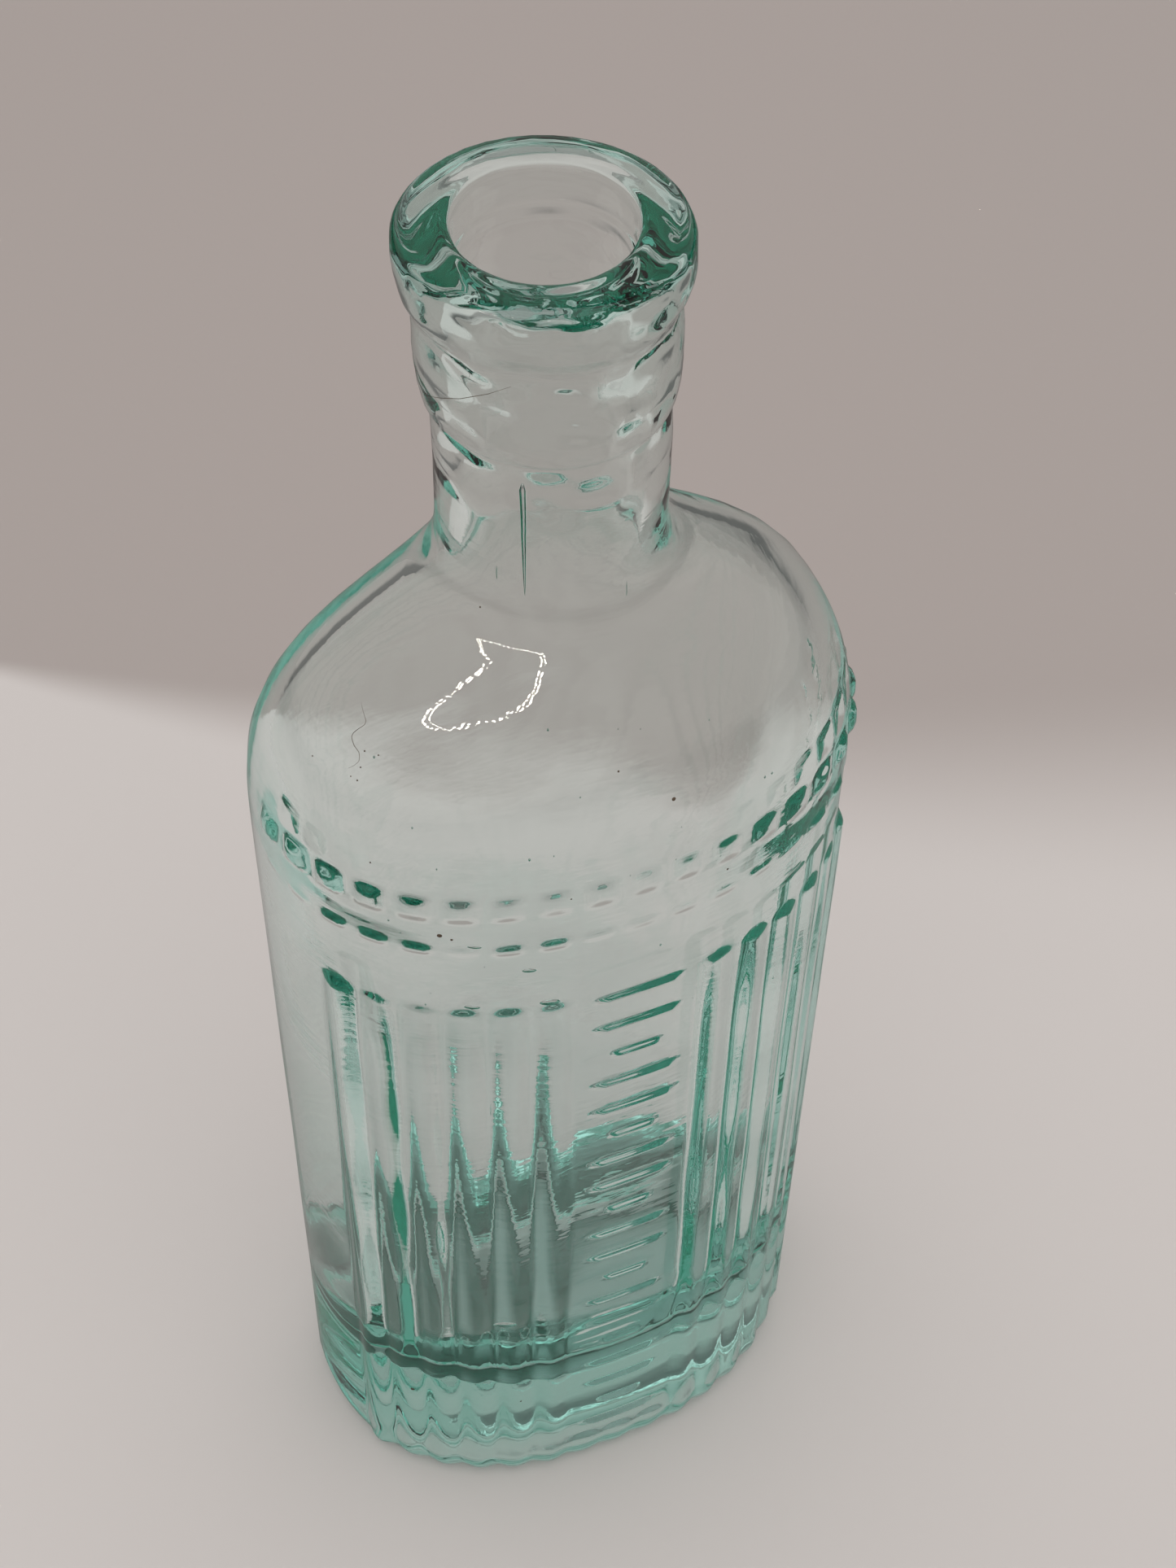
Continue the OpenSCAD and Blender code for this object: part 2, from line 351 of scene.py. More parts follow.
def splineThrough(points, count, crowd=()):
    # a smooth run through profile points, closer together between the heights in crowd
    p = np.array(points, float)
    run = runAlong(p, 0.5)
    slope = np.gradient(p, run, axis=0)
    fine = np.linspace(0, run[-1], 1200)
    i = np.clip(np.searchsorted(run, fine) - 1, 0, len(p) - 2)
    h = (run[i + 1] - run[i])[:, None]
    u = ((fine - run[i])[:, None]) / h
    curve = ((2 * u**3 - 3 * u**2 + 1) * p[i] + (u**3 - 2 * u**2 + u) * h * slope[i]
             + (3 * u**2 - 2 * u**3) * p[i + 1] + (u**3 - u**2) * h * slope[i + 1])
    length = runAlong(curve)
    weight = np.ones(len(curve))
    for low, high, times in crowd:
        weight[(curve[:, 1] > low) & (curve[:, 1] < high)] = times
    gone = np.concatenate([[0], np.cumsum(np.diff(length) * weight[1:])])
    at = np.interp(np.linspace(0, gone[-1], count), gone, length)
    return np.stack([np.interp(at, length, curve[:, k]) for k in (0, 1)], -1)


class MeshBook:
    # vertices and faces of one piece, in millimetres
    def __init__(self):
        self.points, self.faces = [], []

    def ring(self, pts):
        start = len(self.points)
        self.points.extend(pts.tolist())
        return list(range(start, start + len(pts)))

    def band(self, low, high):
        n = len(low)
        for i in range(n):
            k = (i + 1) % n
            self.faces.append((low[i], low[k], high[k], high[i]))

    def cap(self, ring, middle, flip=False):
        start = self.ring(np.array([middle]))[0]
        n = len(ring)
        for i in range(n):
            a, b = ring[i], ring[(i + 1) % n]
            self.faces.append((b, a, start) if flip else (a, b, start))

    def zip(self, low, high):
        # joins two rings with different numbers of points round the neck's axis
        def turns(ring):
            p = np.array([self.points[i][:2] for i in ring]) - neckAt
            a = np.arctan2(p[:, 1], p[:, 0]) % (2 * math.pi)
            first = int(np.argmin(a))
            order = [(first + k) % len(ring) for k in range(len(ring))]
            return [ring[k] for k in order], [a[k] for k in order] + [a[first] + 2 * math.pi, math.inf]

        (lo, la), (hi, ha) = turns(low), turns(high)
        i = j = 0
        while i < len(lo) or j < len(hi):
            a, b = lo[i % len(lo)], hi[j % len(hi)]
            if la[i + 1] <= ha[j + 1]:
                self.faces.append((a, lo[(i + 1) % len(lo)], b))
                i += 1
            else:
                self.faces.append((a, hi[(j + 1) % len(hi)], b))
                j += 1

    def tube(self, path, radii, sides=8, hollow=False):
        # a closed thin form along a path, turned inside out where it is a bubble in the glass
        path = np.array(path, float)
        along = np.gradient(path, axis=0)
        along /= np.linalg.norm(along, axis=1, keepdims=True)
        side = np.cross(along, (0.83, 0.2, 0.52))         # a way that no path follows
        side /= np.linalg.norm(side, axis=1, keepdims=True)
        other = np.cross(side, along)
        turn = np.linspace(0, 2 * math.pi, sides, endpoint=False)[:, None]
        first = len(self.faces)
        made = [self.ring(p + r * (np.cos(turn) * u + np.sin(turn) * v))
                for p, r, u, v in zip(path, radii, side, other)]
        self.cap(made[0], path[0], flip=True)
        for low, high in zip(made, made[1:]):
            self.band(low, high)
        self.cap(made[-1], path[-1])
        volume = 0.0
        for face in self.faces[first:]:
            a, *rest = [np.array(self.points[i]) - path[0] for i in face]
            volume += sum(np.dot(a, np.cross(b, c)) for b, c in zip(rest, rest[1:]))
        if (volume > 0) == hollow:
            self.faces[first:] = [face[::-1] for face in self.faces[first:]]

    def build(self, name):
        mesh = bpy.data.meshes.new(name)
        mesh.from_pydata([[c / 1000 for c in p] for p in self.points], [], self.faces)
        mesh.shade_smooth()
        mesh.update()
        piece = bpy.data.objects.new(name, mesh)
        scene.collection.objects.link(piece)
        return piece


# The outer skin, from under the base to the mouth

def outerColumns():
    # angles round the skin, close together where the pattern is, and lengths from the front's middle
    front = f["columns"] * f["pitch"] / 2
    last = (f["columns"] - 1) // 2
    offsets = [-0.5, -0.41, -0.31, -0.2, -0.07, 0.07, 0.2, 0.31, 0.41]
    backCount, farFromPattern = 30, 400.0

    def places(length):
        cells = [(c + o) * f["pitch"] for c in range(-last, last + 1) for o in offsets] + [front]
        edge = [length / 2 - 0.02, (length / 2 + front) / 2]
        return np.array([-e for e in edge] + cells + edge[::-1]) + length / 2

    t, length = anglesAlong(-math.pi + 1e-6, -1e-6, places)
    backT = anglesAlong(0.0, math.pi, lambda run: np.linspace(0, run, backCount)[1:-1])[0]
    s = places(length) - length / 2
    return np.concatenate([t, backT]), np.concatenate([s, np.full(len(backT), farFromPattern)])


def outerHeights():
    # heights of the skin's rows, closer where the pattern changes
    bars = []
    for k in range(f["barCount"]):
        at = f["barFrom"] + k * barStep
        bars += [at + d for d in (-0.85, -0.62, -0.4, -0.14, 0.14, 0.4, 0.62, 0.85)]
        if k + 1 < f["barCount"]:
            bars += [at + 1.75, at + barStep / 2, at + barStep - 1.75]
    return np.concatenate([np.linspace(3.4, 9, 13), bars, np.linspace(113.55, 115, 5), [117, 119, 121, 122.6],
                           np.linspace(123.3, 126.2, 9), [127.2, 128.4], np.linspace(129.1, 134.1, 12),
                           np.linspace(135.2, neckZ - 3, 24), np.linspace(neckZ - 2.2, neckZ + 8.5, 14)])


def lipProfile():
    # radius and height of the neck's upper end, the collar, the lip and the edge of the mouth
    n, c, l = f["neckRadius"], f["collarRadius"], f["lipRadius"]
    edge = collarZ - 1                            # the collar's lower edge is a crease
    points = [(n, neckZ + 9.5), (n, neckZ + 13), (n, edge - 2.5), (n, edge - 0.5), (n + 0.08, edge - 0.1),
              (n + 0.4, edge + 0.25), (n + 0.66, edge + 0.9), (n + 0.88, edge + 2.1), (c - 0.02, edge + 4.2),
              (c, edge + 6.5), (c - 0.05, lipZ - 2.4), (c - 0.14, lipZ - 1.1), (c - 0.04, lipZ - 0.1),
              (c + 0.36, lipZ + 0.9), (l - 0.3, lipZ + 2.1), (l, lipZ + 3.6), (l + 0.02, lipZ + 5.6),
              (l - 0.1, lipZ + 6.6), (l - 0.55, lipZ + 7.35), (l - 1.3, topZ - 0.05), (l - 2.6, topZ),
              (10.4, topZ - 0.02), (9.3, topZ - 0.04), (8.85, topZ - 0.2), (8.68, topZ - 0.65)]
    return splineThrough(points, 76, [(edge - 1, edge + 1.5, 3), (lipZ - 1.5, topZ, 1.5)])


def addOuterSkin(book):
    t, s = outerColumns()
    p, n = section(t), wayOut(t)

    def level(xy, z):
        return np.column_stack([xy, np.full(len(t), float(z))])

    def skinAt(z, inset=0.0):
        full = p + n * (reliefAt(s, np.full(len(s), float(z))) - inset)[:, None]
        flat = onNeck(full, f["neckRadius"], z)
        left = float(leftToNeck(z))
        pts = level(flat + (full - flat) * left, z)
        wave, over = waves("outer", pts), z - glassFlow["growHeight"]
        if over > 0:
            wave = wave * (1 + glassFlow["growShare"] * min(1, over / glassFlow["growOver"]))
        wave = wave * left + (1 - left) * wave * glassFlow["neckShare"]
        pts[:, :2] += n * wave[:, None] * min(1, z / glassFlow["calmHeight"])
        return pts

    hollowEdge, ringEdge, hollowPower = 3.2, 3.0, 2.4        # past the heel's curve
    inner = p - n * (f["heelRadius"] + hollowEdge)
    rings = [level(inner * share, f["kickUp"] * (1 - share**hollowPower))
             for share in (0.12, 0.3, 0.5, 0.7, 0.85, 0.95)]
    rings.append(level(p - n * (f["heelRadius"] + ringEdge), 0))
    for turn in np.radians([0, 14, 28, 42, 56, 72, 90]):     # the heel
        rings.append(skinAt(f["heelRadius"] * (1 - math.cos(turn)), f["heelRadius"] * (1 - math.sin(turn))))
    rings += [skinAt(z) for z in outerHeights()]

    for r, z in lipProfile():
        circle = onNeck(p, r, z)
        pts = level(circle, z)
        amount = np.interp(z, [collarZ - 12, collarZ - 2, topZ - 4, topZ], [0.35, 1, 0.8, 0.15])
        marks = float(np.interp(z, [collarZ - 4, collarZ, topZ - 0.5, topZ], [0, 1, 1, 0.3]))
        wave = waves("lip", pts, amount) + waves("lipMarks", pts) * marks
        pts[:, :2] += awayFromNeck(circle) * wave[:, None]
        if r > glassFlow["lipEdgeFrom"] and z < lipZ + 4:
            pts[:, 2] += waves("lipEdge", pts)
        rings.append(pts)

    made = [book.ring(r) for r in rings]
    book.cap(made[0], (0, 0, f["kickUp"]), flip=True)
    for low, high in zip(made, made[1:]):
        book.band(low, high)
    return made[-1]


# The inner skin, from the mouth down the bore to the bottom of the hollow

def smoothSkin(t, z):
    # the outer skin without its pattern
    p = section(t)
    flat = onNeck(p, f["neckRadius"], z)
    return np.column_stack([flat + (p - flat) * float(leftToNeck(z)), np.full(len(t), float(z))])


def insideOf(t, z, thick):
    # points a wall's thickness inside the skin, square to it
    e = 0.004
    p = smoothSkin(t, z)
    up = smoothSkin(t, z + 0.2) - smoothSkin(t, z - 0.2)
    around = smoothSkin(t + e, z) - smoothSkin(t - e, z)
    n = np.cross(around, up)
    n /= np.linalg.norm(n, axis=1, keepdims=True)
    n *= np.sign(np.sum(n[:, :2] * (p[:, :2] - neckAt), axis=1))[:, None]
    return p - n * thick


def boreProfile(neckIn):
    end = topZ - f["boreHeight"]
    points = [(8.64, topZ - 1.2), (8.68, topZ - 2.4), (8.74, topZ - 3.5), (8.71, topZ - 3.9),
              (8.5, topZ - 4.25), (8.45, topZ - 4.8), (8.55, topZ - 8), (8.6, end + 4),
              (8.6, end + 1), (8.75, end - 0.3), (neckIn, end - 1.4), (neckIn, end - 2.2)]
    return splineThrough(points, 50, [(topZ - 5, topZ - 3.4, 4)])


def addInnerSkin(book, mouth):
    count = 112
    t = np.linspace(-math.pi + 0.01, math.pi + 0.01, count, endpoint=False)
    t = np.where(t > math.pi, t - 2 * math.pi, t)
    neckIn = f["boreRadius"] + 0.4
    side, wall = f["sideHeight"], f["wall"]
    thin = glassFlow["shoulderWall"]
    p = section(t, wall)
    centre = np.array(glassFlow["insideMiddle"])
    rings = []

    def uneven(pts, name, amount=1):
        wave = waves(name, pts, amount)
        out = pts[:, :2] - (neckAt if pts[:, 2].mean() > neckZ - 4 else centre)
        out /= np.maximum(np.linalg.norm(out, axis=1, keepdims=True), 1e-6)
        pts[:, :2] += out * wave[:, None]
        return pts

    for r, z in boreProfile(neckIn):
        ring = np.column_stack([onNeck(p, r, z), np.full(count, z)])
        ring[:, :2] += awayFromNeck(ring[:, :2]) * waves("boreMarks", ring)[:, None]
        rings.append(uneven(ring, "bore", float(np.interp(z, [topZ - 8, topZ - 4], [1, 0.3]))))

    neckPart = np.linspace(topZ - f["boreHeight"] - 3.5, neckZ + 6, 5)
    for z in np.concatenate([neckPart, np.linspace(neckZ + 4.5, side + 1, 34)]):
        thick = float(np.interp(z, [side, side + 14, neckZ - 3, neckZ + 4],
                                [wall, thin, thin, f["neckRadius"] - neckIn]))
        amount = float(np.interp(z, [side, side + 12, neckZ], [0.8, 0.35, 0.5]))
        rings.append(uneven(insideOf(t, z, thick), "shoulderInside", amount))

    sideShare = np.abs(p[:, 0]) / np.abs(p[:, 0]).max()
    floor, halfDepth = glassFlow["bowlFloor"], 18
    bowl = (glassFlow["bowlHeight"] - glassFlow["bowlTilt"] * p[:, 1] / halfDepth
            - glassFlow["bowlSideDrop"] * sideShare ** 4)
    inner = insideSection(t)
    for share in np.linspace(0, 1, 44):                      # down the walls
        z = (side - 1) * (1 - share) + (floor + bowl) * share
        ring = np.column_stack([p + (inner - p) * float(smooth(share * 2.2)), z])
        rings.append(uneven(ring, "wallInside"))
    widePower, highPower = [2 / v for v in glassFlow["bowlShape"]]
    for turn in np.radians([4, 8, 12, 17, 22, 28, 34, 40, 47, 54, 62, 70, 78, 85]):      # the rounded bottom
        share = math.cos(turn) ** widePower
        z = floor + bowl * (1 - math.sin(turn) ** highPower)
        ring = np.column_stack([centre + (inner - centre) * share, z])
        ring[:, 2] += waves("bottomLift", ring) * (1 - share)
        rings.append(uneven(ring, "bottomInside", share))

    made = [book.ring(r) for r in rings]
    book.zip(mouth, made[0])
    for high, low in zip(made, made[1:]):
        book.band(high, low)
    book.cap(made[-1], (centre[0], centre[1], floor))


# Bubbles in the glass and dirt on it, placed by pixels of the photograph, with sizes in millimetres

glassMarks = {
    "airLine": ((640, 600), (643, 737)),
    "airLineWidth": 0.34,
    "airLineDepth": 1.2,
    "slits": (((608, 698), (608, 714)), ((773, 716), (773, 734)), ((602, 1360), (602, 1374))),
    "slitDepth": 0.8,
    "slitRadii": (0.02, 0.06, 0.07, 0.06, 0.02),
    "bubbles": (((607, 1631), (636, 1631), 0.55), ((642, 1196), (660, 1195), 0.3),
                ((664, 1236), (690, 1233), 0.5), ((570, 1240), (590, 1241), 0.3),
                ((574, 1166), (592, 1167), 0.2)),
    "bubbleDepth": 0.35,                         # from the skin to its near side
    "seedCount": 30,
    "seedArea": ((430, 850), (960, 1240)),
    "seedRadius": (0.05, 0.14),
    "seedStretch": (1, 2.2),
    "seedDepth": 1.2,
    "hairs": (((523, 486), (540, 489), (565, 490), (600, 484), (628, 475)),
              ((444, 864), (447, 877), (450, 886), (448, 891), (440, 896), (434, 901), (432, 906), (435, 916),
               (441, 924), (442, 930), (441, 936), (435, 941), (428, 944))),
    "hairWidth": 0.032,
    "hairHeight": 0.02,
    "specks": ((828, 982, 0.24), (540, 1150, 0.3), (507, 1707, 0.3), (555, 1155, 0.16), (640, 1722, 0.14),
               (590, 746, 0.1), (760, 948, 0.12), (894, 1068, 0.14), (455, 1060, 0.1), (702, 1105, 0.1),
               (448, 923, 0.1), (443, 943, 0.09), (439, 959, 0.1), (465, 928, 0.09), (431, 954, 0.08),
               (384, 929, 0.09)),
    "speckForm": ((-0.03, 0.4), (-0.01, 1), (0.03, 0.9), (0.05, 0.3)),       # height and share of the size
}


def onGlass(tree, px, py, deep):
    # the place on the outer skin seen at a pixel, set in by a depth in millimetres
    origin, way = sightLine(px, py)
    hit, normal = tree.ray_cast(origin * 1000, way)[:2]
    normal = normal if normal.dot(way) < 0 else -normal
    return np.array(hit - normal * deep), np.array(normal)


def pathOnGlass(tree, pixels, count, deep):
    pixels = np.array(pixels, float)
    at = np.linspace(0, len(pixels) - 1, count)
    xs, ys = [np.interp(at, range(len(pixels)), pixels[:, k]) for k in (0, 1)]
    return [onGlass(tree, float(x), float(y), deep)[0] for x, y in zip(xs, ys)]


def addBubbles(book, spec):
    tree = BVHTree.FromPolygons([Vector(p) for p in book.points], book.faces)
    u = np.linspace(0, 1, 18)
    book.tube(pathOnGlass(tree, spec["airLine"], 18, spec["airLineDepth"]),
              spec["airLineWidth"] * (1 - u) ** 0.6 * np.clip((u + 0.02) / 0.08, 0, 1) + 0.01, 10, True)
    for pixels in spec["slits"]:
        book.tube(pathOnGlass(tree, pixels, 5, spec["slitDepth"]), spec["slitRadii"], 6, True)
    for a, b, wide in spec["bubbles"]:
        u = np.linspace(-0.98, 0.98, 9)
        path = pathOnGlass(tree, (a, b), 9, wide + spec["bubbleDepth"])
        book.tube(path, wide * np.sqrt(1 - u * u), 12, True)
    rng = np.random.default_rng(6)
    low, high = spec["seedArea"]
    for _ in range(spec["seedCount"]):
        px, py = rng.uniform(low[0], high[0]), rng.uniform(low[1], high[1])
        size = rng.uniform(*spec["seedRadius"])
        middle = onGlass(tree, px, py, spec["seedDepth"])[0]
        stretch = np.array([0, 0, size * rng.uniform(*spec["seedStretch"])])
        u = np.linspace(-0.95, 0.95, 6)
        book.tube([middle + v * stretch for v in u], size * np.sqrt(1 - u * u), 7, True)
    return tree


def addDirt(spec, tree):
    marks = MeshBook()
    for hair in spec["hairs"]:
        path = pathOnGlass(tree, hair, 40, -spec["hairHeight"])
        u = np.linspace(-1, 1, 40)
        marks.tube(path, spec["hairWidth"] * np.clip(1.3 - np.abs(u), 0.15, 1), 6)
    for px, py, size in spec["specks"]:
        middle, normal = onGlass(tree, px, py, 0)
        marks.tube([middle + normal * v for v, share in spec["speckForm"]],
                   [share * size for v, share in spec["speckForm"]], 9)
    return marks.build("dirt")


book = MeshBook()
mouthRing = addOuterSkin(book)
addInnerSkin(book, mouthRing)
skinTree = addBubbles(book, glassMarks)
bottle = book.build("bottleGlass")
dirt = addDirt(glassMarks, skinTree)
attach(dirt, "root")
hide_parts("bottle")
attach(bottle, "root")
bottle.data.calc_loop_triangles()
print("bottle built,", len(bottle.data.loop_triangles), "triangles")


class NodeBook:
    # short calls that add nodes to one material, world or lamp
    def __init__(self, owner):
        owner.use_nodes = True
        self.nodes, self.links = owner.node_tree.nodes, owner.node_tree.links

    def feed(self, node, inputs):
        # another node's output is linked, and a plain value is set
        for name, value in inputs.items():
            if isinstance(value, bpy.types.NodeSocket):
                self.links.new(value, node.inputs[name])
            else:
                node.inputs[name].default_value = value

    def add(self, kind, inputs=None):
        node = self.nodes.new("ShaderNode" + kind)
        self.feed(node, inputs or {})
        return node.outputs

    def maths(self, operation, *values, clamp=False):
        node = self.nodes.new("ShaderNodeMath")
        node.operation, node.use_clamp = operation, clamp
        self.feed(node, dict(enumerate(values)))
        return node.outputs[0]

    def measure(self, operation, *values):
        # a number from vectors
        node = self.nodes.new("ShaderNodeVectorMath")
        node.operation = operation
        self.feed(node, dict(enumerate(values)))
        return node.outputs["Value"]

    def span(self, value, low, high, start=0, end=1, soft=False):
        # a value from low to high becomes one from start to end
        node = self.nodes.new("ShaderNodeMapRange")
        node.interpolation_type = "SMOOTHSTEP" if soft else "LINEAR"
        self.feed(node, {"Value": value, "From Min": low, "From Max": high, "To Min": start, "To Max": end})
        return node.outputs["Result"]

    def mix(self, share, first, second, blend="MIX"):
        node = self.nodes.new("ShaderNodeMix")
        node.data_type, node.blend_type = "RGBA", blend
        self.feed(node, {0: share, 6: first, 7: second})
        return node.outputs[2]

    def ramp(self, value, first, last, *between):
        # colours at places from 0 to 1
        node = self.nodes.new("ShaderNodeValToRGB")
        stops = node.color_ramp.elements
        for stop, (at, color) in zip(stops, (first, last)):
            stop.position, stop.color = at, color
        for at, color in between:
            stops.new(at).color = color
        self.links.new(value, node.inputs["Fac"])
        return node.outputs["Color"]


# Aqua glass

aquaGlass = {
    "ior": 1.52,
    "tint": (0.0, 0.79, 0.66, 1),      # what a long way through it lets pass
    "density": 15.0,                   # per metre
    "hazeScale": 45,                   # of the patches where it is worn dull
    "hazeDetail": 5,
    "hazeFrom": (0.62, 0.8),
    "rough": (0.0, 0.035),
    "rippleStretch": (0.45, 0.45, 1.6),
    "rippleScale": 420,
    "rippleStrength": 0.35,
    "rippleDepth": 0.00005,
}


def makeGlass(spec):
    material = bpy.data.materials.new("aquaGlass")
    glass = NodeBook(material)
    glass.nodes.clear()
    place = glass.add("TexCoord")["Object"]
    haze = glass.add("TexNoise", {"Vector": place, "Scale": spec["hazeScale"], "Detail": spec["hazeDetail"]})
    stretched = glass.add("Mapping", {"Vector": place, "Scale": spec["rippleStretch"]})
    ripple = glass.add("TexNoise", {"Vector": stretched["Vector"], "Scale": spec["rippleScale"], "Detail": 2})
    bump = glass.add("Bump", {"Strength": spec["rippleStrength"], "Distance": spec["rippleDepth"],
                              "Height": ripple["Fac"]})
    shader = glass.add("BsdfPrincipled", {
        "Base Color": (1, 1, 1, 1), "Transmission Weight": 1, "IOR": spec["ior"], "Normal": bump["Normal"],
        "Roughness": glass.span(haze["Fac"], *spec["hazeFrom"], *spec["rough"])})
    volume = glass.add("VolumeAbsorption", {"Color": spec["tint"], "Density": spec["density"]})
    glass.add("OutputMaterial", {"Surface": shader[0], "Volume": volume[0]})
    return material


# Dried brown specks and a dark hair, uneven in colour

dirtLook = {
    "dark": (0.035, 0.027, 0.02, 1),
    "light": (0.15, 0.1, 0.06, 1),
    "scale": 900,
    "roughness": 0.8,
}


def makeDirt(spec):
    material = bpy.data.materials.new("dirt")
    dust = NodeBook(material)
    place = dust.add("TexCoord")["Object"]
    spots = dust.add("TexNoise", {"Vector": place, "Scale": spec["scale"]})["Fac"]
    dust.feed(dust.nodes["Principled BSDF"], {
        "Roughness": spec["roughness"], "Base Color": dust.ramp(spots, (0, spec["dark"]), (1, spec["light"]))})
    return material


bottle.data.materials.append(makeGlass(aquaGlass))
dirt.data.materials.append(makeDirt(dirtLook))
print("glass ready")


# Floor paper, with painted shade for the backdrop, under the bottle and where the glass sees it, and painted
# light under the base

paperLook = {
    "half": 4,
    "level": -0.0002,                             # just under the base
    "roughness": 0.9,
    "specular": 0.1,
    "floorColor": (0.585, 0.545, 0.52, 1),
    "turnShadeColor": (0.385, 0.34, 0.318, 1),          # painted shade: the flat paper painted darker beyond a line, as the paper is where it turns up behind
    "turnFrom": (-0.0441, 0.1632),                # where it turns up, seen in the photograph
    "turnTo": (0.136, 0.0453),
    "turnBow": 0.75,                              # how far that line bows towards the bottle
    "turnSoft": (0.003, 0.03),                    # its softness at both ends
    "turnSpread": (-0.5, 1.5),                    # where the colours meet, over that softness
    "underPaintedLight": (0.88, 0.87, 0.84, 1),         # painted light: the paper under the bottle, seen through its base, painted brighter than the floor
    # painted shade: towards the base's edge the paper under it turns dark green
    "underPaintedShade": (0.09, 0.24, 0.19, 1),
    "heelPaintedShadow": (0.01, 0.11, 0.08, 1),            # painted shadow: the dark line where the heel meets the paper
    "middleOval": ((0.014, -0.006), (0.03, 0.024), 0.35, 1.1),         # centre, reach, and a soft edge
    "heelOval": ((0, 0.0005), (0.0335, 0.0203), 0.89, 0.94),
    "baseOval": ((0, 0.0005), (0.0335, 0.0203), 0.97, 0.99),
    "farPaintedShade": (0.13, 0.125, 0.12, 1),      # painted shade: the paper far off, painted dark for light bent or reflected in the glass
    "farShadeFrom": (0.45, 0.8),
    "shadeWay": (0.45, 0.89, 0),                  # the photographer's side is in shade
    "shadeFrom": (-0.03, -0.07),
    "shadeShare": 0.5,                              # painted shade: the paper's colour is multiplied by this on the camera's side for light bent in the glass, and for all reflected rays
    "throughDepth": 4,                            # a look straight through both walls sees the paper as it is
}


def makeFloor(spec):
    h = spec["half"]
    mesh = bpy.data.meshes.new("floor")
    mesh.from_pydata([(-h, -h, 0), (h, -h, 0), (h, h, 0), (-h, h, 0)], [], [(0, 1, 2, 3)])
    floor = bpy.data.objects.new("floor", mesh)
    floor.location = (0, 0, spec["level"])
    scene.collection.objects.link(floor)
    material = bpy.data.materials.new("floorPaper")
    paper = NodeBook(material)
    place = paper.add("TexCoord")["Object"]
    start, end = Vector(spec["turnFrom"]), Vector(spec["turnTo"])
    along, length = (end - start).normalized(), (end - start).length
    across = Vector((-along.y, along.x))          # away from the bottle
    if across.dot(start) < 0:
        across = -across

    def towards(way):
        return paper.maths("SUBTRACT", paper.measure("DOT_PRODUCT", place, (way.x, way.y, 0)), way.dot(start))

    beyond, side = towards(across), towards(along)
    soft = paper.span(side, 0, length, *spec["turnSoft"])
    left = paper.maths("SUBTRACT", length, side)
    arch = paper.maths("MULTIPLY", side, left, clamp=True)           # straight again past both ends
    bowed = paper.maths("MULTIPLY_ADD", arch, spec["turnBow"], beyond)
    # painted shade: beyond the bowed line the flat paper takes the darker colour of its turned-up part
    turned = paper.span(paper.maths("DIVIDE", bowed, soft), *spec["turnSpread"], soft=True)
    plain = paper.mix(turned, spec["floorColor"], spec["turnShadeColor"])

    def oval(centre, reach, inner, outer):
        # from 0 inside to 1 outside an oval on the paper
        fit = paper.add("Mapping", {
            "Vector": place, "Location": (-centre[0] / reach[0], -centre[1] / reach[1], 0),
            "Scale": (1 / reach[0], 1 / reach[1], 0)})
        return paper.span(paper.measure("LENGTH", fit["Vector"]), inner, outer, soft=True)

    # painted light in the middle of the paper under the bottle, painted shade towards its edge and a painted
    # shadow line at the heel
    under = paper.mix(oval(*spec["middleOval"]), spec["underPaintedLight"], spec["underPaintedShade"])
    rim = paper.mix(oval(*spec["heelOval"]), under, spec["heelPaintedShadow"])
    ground = paper.mix(oval(*spec["baseOval"]), rim, plain)

    ray = paper.add("LightPath")
    bent = paper.maths("MAXIMUM", ray["Is Glossy Ray"], ray["Is Transmission Ray"])
    through = paper.maths("COMPARE", ray["Ray Depth"], spec["throughDepth"], 0.5)
    other = paper.maths("SUBTRACT", bent, through, clamp=True)
    # painted shade: far off paper seen by light bent or reflected in the glass is painted dark
    far = paper.span(paper.measure("LENGTH", place), *spec["farShadeFrom"], soft=True)
    dim = paper.mix(paper.maths("MULTIPLY", other, far), ground, spec["farPaintedShade"])
    # painted shade: on the camera's side, and for every reflected ray, the paper's colour is darkened by the
    # shade share
    front = paper.span(paper.measure("DOT_PRODUCT", place, spec["shadeWay"]), *spec["shadeFrom"], soft=True)
    shadedPart = paper.maths("MAXIMUM", paper.maths("MULTIPLY", front, other), ray["Is Reflection Ray"])
    paper.feed(paper.nodes["Principled BSDF"], {
        "Roughness": spec["roughness"], "Specular IOR Level": spec["specular"],
        "Base Color": paper.mix(shadedPart, dim, (spec["shadeShare"],) * 3 + (1,), "MULTIPLY")})
    mesh.materials.append(material)


# The room round the bottle, and the ring of small lamps that shows in the glass only

studio = {
    "wallColor": (0.37, 0.33, 0.31, 1),           # what the glass sees round it
    "highWallColor": (0.47, 0.42, 0.4, 1),
    "highWall": (0.18, 0.78),                     # from and to, as shares of the height
    "roomColor": (0.11, 0.108, 0.105, 1),
    "roomFrom": 0.92,
    "skyColor": (0.88, 0.87, 0.875, 1),           # what lights the paper
    "ringAxis": (-0.52, -0.53, 0.665),
    "ringWide": 0.38,                             # half width and height over distance
    "ringHigh": 0.1,
    "ringLamps": 44,
    "ringRows": 0.05,                             # two rows, this far inside and outside the ring
    "lampLong": 0.24,                             # half a lamp over the step from lamp to lamp
    "lampThick": 0.4,                             # over the rows' distance
    "ringColor": (60, 58, 52, 1),
    "ringDepth": 3.5,                             # from either side of the wall, not from deep in the glass
}


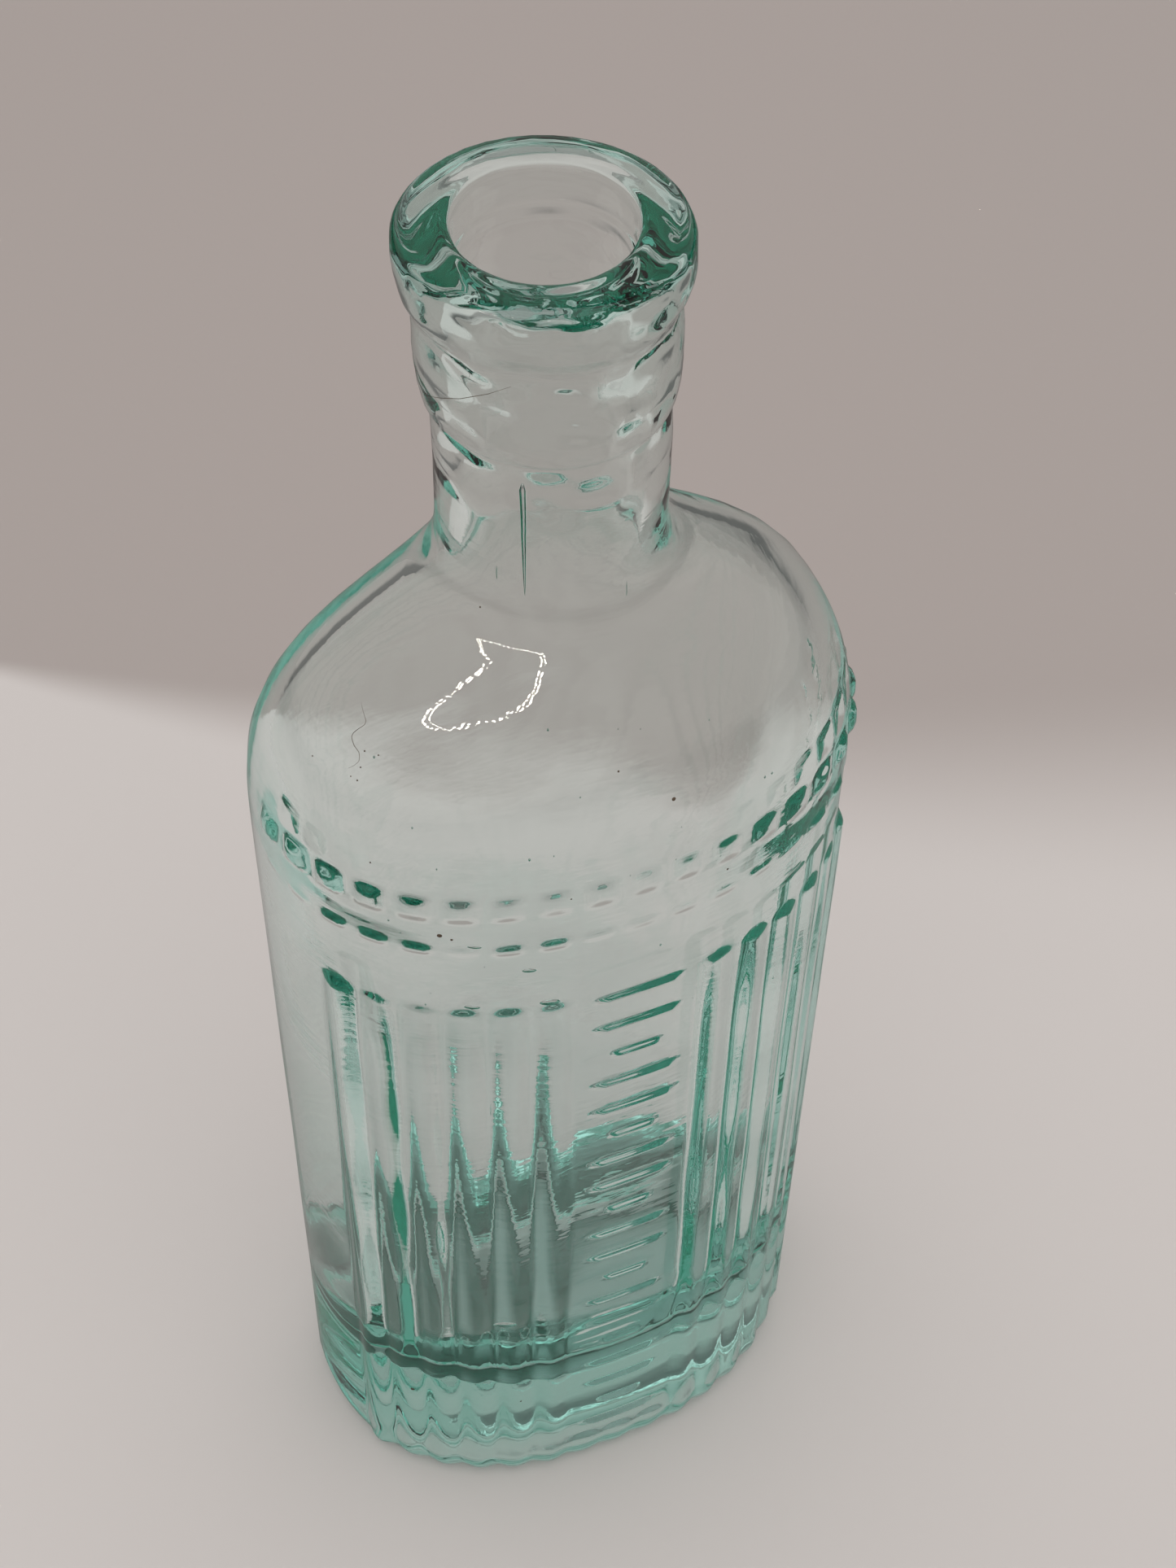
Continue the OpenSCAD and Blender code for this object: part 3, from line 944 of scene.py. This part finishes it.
def makeWorld(spec):
    world = bpy.data.worlds.new("studio")
    scene.world = world
    sky = NodeBook(world)
    maths = sky.maths
    place = sky.add("TexCoord")["Generated"]
    height = sky.add("SeparateXYZ", {0: place})["Z"]
    room = sky.ramp(height, (0, spec["wallColor"]), (spec["roomFrom"], spec["roomColor"]),
                    *[(at, spec["highWallColor"]) for at in spec["highWall"]])
    ray = sky.add("LightPath")
    looks = maths("MAXIMUM", maths("MAXIMUM", ray["Is Camera Ray"], ray["Is Glossy Ray"]),
                  ray["Is Transmission Ray"])
    early = maths("LESS_THAN", ray["Diffuse Depth"], 0.5)    # what lights the paper counts as sky
    seen = sky.mix(maths("MULTIPLY", looks, early), spec["skyColor"], room)

    def reach(way):
        return sky.measure("DOT_PRODUCT", place, way)

    def gap(a, b):
        return maths("ABSOLUTE", maths("SUBTRACT", a, b))

    axis = Vector(spec["ringAxis"]).normalized()
    flat = axis.cross(Vector((0, 0, 1))).normalized()
    ahead = reach(axis)
    depth = maths("MAXIMUM", ahead, 0.01)
    x = maths("DIVIDE", maths("DIVIDE", reach(flat), depth), spec["ringWide"])
    y = maths("DIVIDE", maths("DIVIDE", reach(flat.cross(axis)), depth), spec["ringHigh"])
    far = maths("SQRT", maths("ADD", maths("MULTIPLY", x, x), maths("MULTIPLY", y, y)))
    turn = maths("MULTIPLY", maths("ARCTAN2", y, x), spec["ringLamps"] / (2 * math.pi))
    along = maths("LESS_THAN", gap(maths("FRACT", turn), 0.5), spec["lampLong"])
    rows = maths("LESS_THAN", gap(gap(far, 1), spec["ringRows"]), spec["ringRows"] * spec["lampThick"])
    front = maths("GREATER_THAN", ahead, 0.3)     # not on the far side of the room
    lamp = maths("MULTIPLY", maths("MULTIPLY", along, rows), front)
    near = maths("LESS_THAN", ray["Ray Depth"], spec["ringDepth"])
    shown = maths("MULTIPLY", maths("MULTIPLY", ray["Is Glossy Ray"], near), maths("MULTIPLY", early, lamp))
    sky.feed(sky.nodes["Background"], {"Color": sky.mix(shown, seen, spec["ringColor"]), "Strength": 1})


# The one lamp, which the glass doesn't show

topLamp = {
    "place": (-0.05, -0.15, 1.1),
    "aim": (0, 0, 0.05),
    "size": 0.9,
    "energy": 2.4,
    "color": (1, 0.985, 0.965),
}


def areaLamp(name, spec):
    data = bpy.data.lights.new(name, "AREA")
    data.size, data.energy, data.color = spec["size"], spec["energy"], spec["color"]
    light = NodeBook(data)
    ray = light.add("LightPath")
    early = light.maths("LESS_THAN", ray["Diffuse Depth"], 0.5)
    bent = light.maths("MAXIMUM", ray["Is Glossy Ray"], ray["Is Transmission Ray"])
    rest = light.maths("SUBTRACT", 1, light.maths("MULTIPLY", early, bent))
    light.feed(light.nodes["Emission"], {"Strength": rest})
    lamp = bpy.data.objects.new(name, data)
    lamp.location = spec["place"]
    lamp.rotation_euler = (Vector(spec["aim"]) - Vector(spec["place"])).to_track_quat("-Z", "Y").to_euler()
    scene.collection.objects.link(lamp)


makeFloor(paperLook)
makeWorld(studio)
areaLamp("topLamp", topLamp)
print("studio ready")
